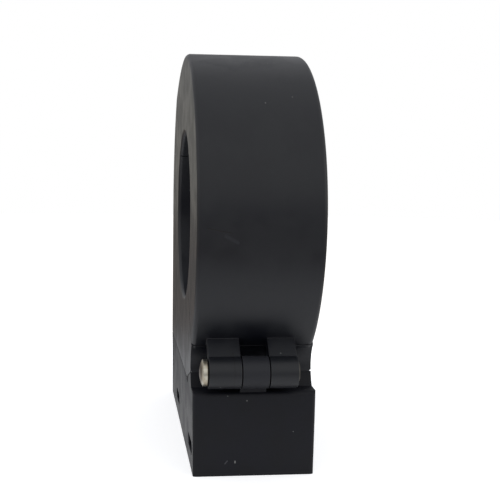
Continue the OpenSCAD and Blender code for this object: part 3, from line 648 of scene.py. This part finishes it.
def silicon_steel():
    """Strip-wound core: bright strip edges, dark varnish between them, lapped poles."""
    finish, tree, place = new_finish("wound_silicon_steel")
    phase = add(tree, "Math", {0: off_axis(tree, place, 0, 0), 1: 2 * math.pi / STRIP},
                operation="MULTIPLY")
    ripple = add(tree, "Math", {0: phase}, operation="SINE")
    seam = add(tree, "MapRange", {0: ripple, 1: -0.4, 2: -0.9}, interpolation_type=SMOOTH)
    beside = add(tree, "VectorMath", {0: place, 1: SPLIT_NORMAL}, operation="DOT_PRODUCT")
    depth = add(tree, "Math", {0: beside}, operation="ABSOLUTE")
    pole = add(tree, "MapRange", {0: depth, 1: POLE_DEPTH, 2: POLE_FULL})
    side = add(tree, "Mix", {"Factor": mottle(tree, place, 3.0), "A": linear("#77797c"),
                             "B": linear("#5d5a55")}, data_type="RGBA")
    steel = add(tree, "Mix", {"Factor": pole, "A": side, "B": linear("#a3a5a8")}, data_type="RGBA")
    colour = add(tree, "Mix", {"Factor": seam, "A": steel, "B": linear("#2f2c28")}, data_type="RGBA")
    polish = add(tree, "MapRange", {0: pole, 3: 0.42, 4: 0.22})
    dull = add(tree, "Math", {0: seam, 1: VARNISH_DULLNESS, 2: polish}, operation="MULTIPLY_ADD")
    rounded = soft_edge(tree, 0.1)
    bumped = add(tree, "Bump", {"Height": ripple, "Distance": 0.01 * MM, "Normal": rounded})
    feed(tree.nodes["Principled BSDF"], {
        "Metallic": 1.0, "Base Color": colour, "Roughness": dull, "Normal": bumped})
    return finish


FINISHES["core_steel"] = silicon_steel()
print("strips across the core: %.0f" % ((core_high.y - core_low.y) / STRIP))

# %% [markdown]
# ## Copper, insulation, epoxy and foam
# The winding is enamelled copper: amber enamel over metal, which is a clear coat with a tint.
# Its two leads wear yellow PVC, soft enough to show small dents.
# The diode is black epoxy, dull, with pale specks of filler.
# The foam strip under the moving core is full of closed cells about half a millimetre across.
# All four are one pattern that sets tone, sheen and relief together, so they share one recipe.

# %% Copper, leads, epoxy and foam
DENT_MM, SPECK_MM, CELL_MM = 1.2, 0.12, 0.5


def spotted(name, first, second, pattern_of, depth_mm, edge_mm, rough, **shader_values):
    """A finish of two tones whose pattern also gives its relief and its sheen."""
    finish, tree, place = new_finish(name)
    pattern = pattern_of(tree, place)
    colour = add(tree, "Mix", {"Factor": pattern, "A": linear(first), "B": linear(second)},
                 data_type="RGBA")
    sheen = add(tree, "MapRange", {0: pattern, 3: rough[0], 4: rough[1]})
    rounded = soft_edge(tree, edge_mm)
    bumped = add(tree, "Bump", {"Height": pattern, "Distance": depth_mm * MM, "Normal": rounded})
    feed(tree.nodes["Principled BSDF"], {
        "Base Color": colour, "Roughness": sheen, "Normal": bumped, **shader_values})
    return finish


def soft_dents(tree, place):
    """Dents in copper wire and in soft insulation."""
    return mottle(tree, place, DENT_MM)


def filler_specks(tree, place):
    """Specks of filler in epoxy."""
    fine = add(tree, "TexNoise", {"Vector": place, "Scale": 1 / (SPECK_MM * MM)})
    return add(tree, "MapRange", {0: fine, 1: 0.60, 2: 0.70}, interpolation_type=SMOOTH)


def foam_cells(tree, place):
    """Closed cells in foam."""
    return add(tree, "TexVoronoi", {"Vector": place, "Scale": 1 / (CELL_MM * MM)})


FINISHES["winding_copper"] = spotted(
    "enamelled_copper", first="#b05f2e", second="#c8763c", pattern_of=soft_dents,
    depth_mm=0.004, edge_mm=0.05, rough=(0.24, 0.34),
    **{"Metallic": 1.0, "Coat Weight": 0.7, "Coat Roughness": 0.12, "Coat Tint": linear("#f0bd85")})
FINISHES["lead_insulation"] = spotted(
    "yellow_pvc", first="#bd9420", second="#d2ab35", pattern_of=soft_dents,
    depth_mm=0.03, edge_mm=0.05, rough=(0.36, 0.48))
FINISHES["diode_epoxy"] = spotted(
    "black_epoxy", first="#161616", second="#2e2e2e", pattern_of=filler_specks,
    depth_mm=0.006, edge_mm=0.12, rough=(0.55, 0.70))
FINISHES["pad_foam"] = spotted(
    "closed_cell_foam", first="#252527", second="#454548", pattern_of=foam_cells,
    depth_mm=0.15, edge_mm=0.40, rough=(0.95, 0.85), **{"Specular IOR Level": 0.2})
print("finishes so far:", len(FINISHES))

# %% [markdown]
# ## The circuit board
# The board is glass-fibre laminate under green resist. The weave shows faintly, one thread in 0.5 mm,
# and two copper tracks run along it as lighter, raised bands.
# Two sine waves multiplied make the weave, which is how a plain cloth goes over and under.

# %% Board
board_low, board_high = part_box("circuit_board")
THREAD = 0.5 * MM
TRACK_HALF_W = 1.1 * MM
TRACK_PLACES = (0.32, 0.68)


def solder_resist():
    """Green resist over glass weave, with two wide tracks along Y."""
    finish, tree, place = new_finish("green_solder_resist")
    axes = add(tree, "SeparateXYZ", {0: place}).outputs
    weave = 1.0
    for axis in ("Y", "Z"):
        phase = add(tree, "Math", {0: axes[axis], 1: 2 * math.pi / THREAD}, operation="MULTIPLY")
        thread = add(tree, "Math", {0: phase}, operation="SINE")
        weave = add(tree, "Math", {0: weave, 1: thread}, operation="MULTIPLY")
    tracks = 0.0
    for share in TRACK_PLACES:
        middle = board_low.z + share * (board_high.z - board_low.z)
        on_track = add(tree, "Math", {0: axes["Z"], 1: middle, 2: TRACK_HALF_W}, operation="COMPARE")
        tracks = add(tree, "Math", {0: tracks, 1: on_track}, operation="MAXIMUM")
    threads = add(tree, "MapRange", {0: weave, 1: -1.0, 2: 1.0})
    bare = add(tree, "Mix", {"Factor": threads, "A": linear("#174a2b"), "B": linear("#1c5733")},
               data_type="RGBA")
    colour = add(tree, "Mix", {"Factor": tracks, "A": bare, "B": linear("#2f7a45")}, data_type="RGBA")
    height = add(tree, "Math", {0: threads, 1: 0.3, 2: tracks}, operation="MULTIPLY_ADD")
    rounded = soft_edge(tree, 0.1)
    bumped = add(tree, "Bump", {"Height": height, "Distance": 0.03 * MM, "Normal": rounded})
    feed(tree.nodes["Principled BSDF"], {"Base Color": colour, "Roughness": 0.28, "Normal": bumped})
    return finish


FINISHES["board_laminate"] = solder_resist()
print("board %.1f x %.1f mm" % ((board_high.y - board_low.y) / MM, (board_high.z - board_low.z) / MM))

# %% [markdown]
# ## The resistor
# The resistor is dipped in tan lacquer, with colour bands painted round it and tinned legs.
# The bands could be rings of their own, but paint has no thickness to speak of, so they are drawn.
# They are placed from the middle of the resistor's own box, so they stay put if its size is changed.

# %% Resistor
resistor_low, resistor_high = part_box("burden_resistor")
LEG = 1.35 * MM
BAND_HALF_W = 0.4 * MM
BAND_SPREAD = 1.5
BAND_TONES = ("#5a3a22", "#191919", "#191919", "#8a3b24", "#5a3a22")


def resistor_lacquer():
    """Tan lacquer with colour bands along Y, and tinned legs past its ends."""
    finish, tree, place = new_finish("tan_resistor_lacquer")
    body_end = resistor_high.y - LEG
    along = add(tree, "SeparateXYZ", {0: place}).outputs["Y"]
    colour = add(tree, "Mix", {"Factor": mottle(tree, place, 0.8), "A": linear("#b39c74"),
                               "B": linear("#c3ae88")}, data_type="RGBA")
    for index, tone in enumerate(BAND_TONES):
        middle = (index / (len(BAND_TONES) - 1) - 0.5) * BAND_SPREAD * body_end
        on_band = add(tree, "Math", {0: along, 1: middle, 2: BAND_HALF_W}, operation="COMPARE")
        colour = add(tree, "Mix", {"Factor": on_band, "A": colour, "B": linear(tone)}, data_type="RGBA")
    from_middle = add(tree, "Math", {0: along}, operation="ABSOLUTE")
    tinned = add(tree, "Math", {0: from_middle, 1: body_end}, operation="GREATER_THAN")
    colour = add(tree, "Mix", {"Factor": tinned, "A": colour, "B": linear("#b8bab9")}, data_type="RGBA")
    runs = add(tree, "TexNoise", {"Vector": place, "Scale": 1 / (0.6 * MM)})
    rounded = soft_edge(tree, 0.3)
    bumped = add(tree, "Bump", {"Height": runs, "Distance": 0.03 * MM, "Normal": rounded})
    feed(tree.nodes["Principled BSDF"], {
        "Base Color": colour, "Metallic": tinned, "Roughness": 0.33, "Normal": bumped})
    return finish


FINISHES["resistor_coating"] = resistor_lacquer()
print("finishes:", len(FINISHES))

# %% [markdown]
# ## Putting the finishes on
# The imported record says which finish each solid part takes, so one loop does them all.

# %% Finish the solid parts
slot_of = {part["node"]: part["material_slot"] for part in frame["record"]["subparts"]}
for name, part in nodes.items():
    part.data.materials.clear()
    part.data.materials.append(FINISHES[slot_of[name]])
print("finished parts:", len(nodes))

# %% [markdown]
# ## A skin over rings
# The wire and the solder joints below are both a row of rings with a skin between them and a lid at
# each end. A curve with a bevel could make the wire, but not the solder, and a mesh can be checked
# vertex by vertex, so one helper skins both.

# %% Skin a row of rings


def skinned(name, rings_of_points, slot):
    """A closed smooth piece through rings of points. It rides on the base."""
    shape = bmesh.new()
    rings = [[shape.verts.new(point) for point in ring] for ring in rings_of_points]
    for first, second in zip(rings, rings[1:]):
        for k in range(len(first)):
            shape.faces.new((first[k], first[k - 1], second[k - 1], second[k]))
    shape.faces.new(rings[0])
    shape.faces.new(rings[-1][::-1])
    bmesh.ops.recalc_face_normals(shape, faces=shape.faces)
    mesh = bpy.data.meshes.new(name)
    shape.to_mesh(mesh)
    shape.free()
    mesh.polygons.foreach_set("use_smooth", [True] * len(mesh.polygons))
    mesh.materials.append(FINISHES[slot])
    piece = bpy.data.objects.new(name, mesh)
    bpy.context.scene.collection.objects.link(piece)
    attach(piece, "base")
    return piece


def angles(count):
    """Even angles round a ring."""
    return [2 * math.pi * k / count for k in range(count)]


print("corners of a six-sided ring:", [round(math.degrees(a)) for a in angles(6)])

# %% [markdown]
# ## The winding, turn by turn
# The solid part for the winding is a plain sleeve, which is enough for weighing the model.
# The real winding is wire, laid round the former one turn beside the next, so it replaces the sleeve.
# Each turn is a rounded rectangle that creeps along the ring, and a thin tube follows it.
# The real wire is about 0.2 mm thick; here it is 0.78 mm, so that the turns show.
# On the ring's outside the turns fan out, so a second layer below shows between them, as in the real one.

# %% Winding sizes
CORE_IN, CORE_OUT = 24.75 * MM, 33.25 * MM
FORMER = 0.8 * MM
WIRE_R = 0.39 * MM
END_GAP = 2.75 * MM
section_mid = (CORE_IN + CORE_OUT) / 2
core_half_w = (CORE_OUT - CORE_IN) / 2
core_half_d = (core_high.y - core_low.y) / 2

# %% [markdown]
# ## One wire, bent round the core
# The wire's middle line comes first: point by point round a turn, each a small angle further along
# the ring than the last, and each with the direction that leads off the core.
# A ring of eight corners is then set square to that line at each point, and skinned.
# A bevelled curve could follow the same line, but a ring that is set by the direction off the core
# can't twist against its neighbour.

# %% One layer of wire
CORNER_STEPS = 5
WIRE_SIDES = 8
MIDDLE_ANGLE = math.radians(-135)
UPPER_TURNS = 80
innermost = section_mid - core_half_w - FORMER - 3 * WIRE_R
PITCH = 2 * (math.pi / 2 - math.asin(END_GAP / innermost)) / UPPER_TURNS


def one_turn(half_w, half_d, corner):
    """The points of one turn, a rounded rectangle, each with the direction that is out of it."""
    points = []
    for number, (right, up) in enumerate(((1, 1), (-1, 1), (-1, -1), (1, -1))):
        for step in range(CORNER_STEPS):
            angle = math.pi / 2 * (number + step / (CORNER_STEPS - 1))
            out = Vector((math.cos(angle), math.sin(angle)))
            points.append((Vector((right * (half_w - corner), up * (half_d - corner))) + corner * out, out))
    return points


def wire_path(lift, turns):
    """The wire's middle line, lift above the former, each point with the direction off the core."""
    loop = one_turn(core_half_w + FORMER + lift, core_half_d + FORMER + lift, lift)
    path = []
    for step in range(turns * len(loop) + 1):
        flat, out = loop[step % len(loop)]
        angle = MIDDLE_ANGLE + PITCH * (step / len(loop) - turns / 2)
        radial = Vector((math.cos(angle), 0, math.sin(angle)))
        across = Vector((0, 1, 0))
        path.append((radial * (section_mid + flat.x) + across * flat.y, radial * out.x + across * out.y))
    return path


def lay_wire(name, lift, turns):
    """A tube that winds round the core over the fixed half of the ring."""
    path = wire_path(lift, turns)
    rings = []
    for index, (centre, out) in enumerate(path):
        before = path[max(index - 1, 0)][0]
        after = path[min(index + 1, len(path) - 1)][0]
        ahead = (after - before).normalized()
        side = ahead.cross(out).normalized()
        up = side.cross(ahead)
        rings.append([centre + WIRE_R * (math.cos(a) * up + math.sin(a) * side)
                      for a in angles(WIRE_SIDES)])
    return skinned(name, rings, "winding_copper")


lower_layer = lay_wire("winding_lower_layer", WIRE_R, UPPER_TURNS - 1)
upper_layer = lay_wire("winding_upper_layer", 3 * WIRE_R, UPPER_TURNS)
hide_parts("secondary_winding")
print("wire faces:", len(lower_layer.data.polygons) + len(upper_layer.data.polygons))

# %% [markdown]
# ## Solder joints
# Where the two leads and the resistor's two legs meet the board, solder has drawn up into a small cone
# with a hollow side. The shape is a curve turned about the wire, which is how wetting makes it.

# %% Solder
lead_low, lead_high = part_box("winding_leads")
JOINT_R = 0.95 * MM
JOINT_H = 0.8 * MM
JOINT_RINGS = 7
JOINT_SIDES = 20
HOLLOW = 2.2


def solder_joint(name, y, z, wire_r):
    """A hollow-sided cone on the board's face, round a wire along X."""
    rings = []
    for step in range(JOINT_RINGS):
        share = step / (JOINT_RINGS - 1)
        radius = wire_r + (JOINT_R - wire_r) * (1 - share) ** HOLLOW
        x = board_high.x + JOINT_H * share
        rings.append([(x, y + radius * math.cos(a), z + radius * math.sin(a))
                      for a in angles(JOINT_SIDES)])
    return skinned(name, rings, "screw_steel")


LEAD_R = 0.5 * MM
LEG_R = 0.35 * MM
lead_z = lead_low.z + LEAD_R
leg_z = (resistor_low.z + resistor_high.z) / 2
for side, label in ((-1, "front"), (1, "back")):
    solder_joint("lead_joint_" + label, side * (lead_high.y - LEAD_R), lead_z, LEAD_R)
    solder_joint("leg_joint_" + label, side * (resistor_high.y - LEG_R), leg_z, LEG_R)
print("solder joints at z = %.1f and %.1f mm" % (lead_z / MM, leg_z / MM))
